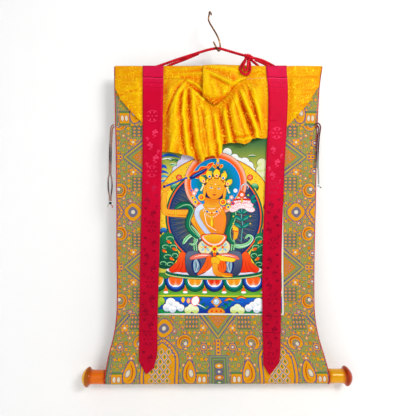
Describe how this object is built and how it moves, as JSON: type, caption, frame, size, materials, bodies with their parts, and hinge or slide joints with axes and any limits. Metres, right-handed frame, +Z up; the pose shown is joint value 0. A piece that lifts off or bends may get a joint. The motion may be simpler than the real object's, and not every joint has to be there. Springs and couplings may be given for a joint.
{
  "type": "thangka scroll painting with hanging hook",
  "caption": "Himalayan scroll painting in a brocade mount, its golden silk veil gathered up, hanging by a red cord from a bent wire hook, with crimson ribbons and a roller with lacquered knobs.",
  "frame": {"origin": "inside top of the hook's upper curl, where a rail, nail or peg carries the scroll", "axes": "+Z up, the painted front faces -Y, +X towards the viewer's right"},
  "size_m": [0.5825, 0.0451, 0.8179],
  "materials": {
    "veil_silk": "golden damask silk",
    "ribbon_satin": "crimson figured satin",
    "brocade": "green and gold brocade",
    "painted_canvas": "painted cotton, matte",
    "cord_red": "red braided cord and piping",
    "braid": "flecked thin braid",
    "hook_brass": "aged wire",
    "knob_lacquer": "turned, glossy lacquer",
    "plain_wood": "plain, hidden in the cloth"
  },
  "bodies": {
    "root": {"hook": "hook_brass", "top_batten": "plain_wood", "dowel": "plain_wood", "brocade_top": "brocade", "brocade_left": "brocade", "brocade_right": "brocade", "brocade_bottom": "brocade", "painting": "painted_canvas", "piping_left": "cord_red", "piping_right": "cord_red", "veil": "veil_silk", "ribbon_left": "ribbon_satin", "ribbon_right": "ribbon_satin", "knob_left": "knob_lacquer", "knob_right": "knob_lacquer", "hanging_cord": "cord_red", "cord_loop_right": "cord_red", "cord_strand_right": "cord_red", "cord_knot": "cord_red", "cord_tail_outer": "cord_red", "cord_tail_inner": "cord_red", "tie_left_outer": "braid", "tie_left_inner": "braid", "tie_left_knot": "braid", "tie_left_end_pale": "braid", "tie_left_end_red": "braid", "tie_right_outer": "braid", "tie_right_inner": "braid", "tie_right_knot": "braid", "tie_right_end": "braid"}
  },
  "joints": []
}
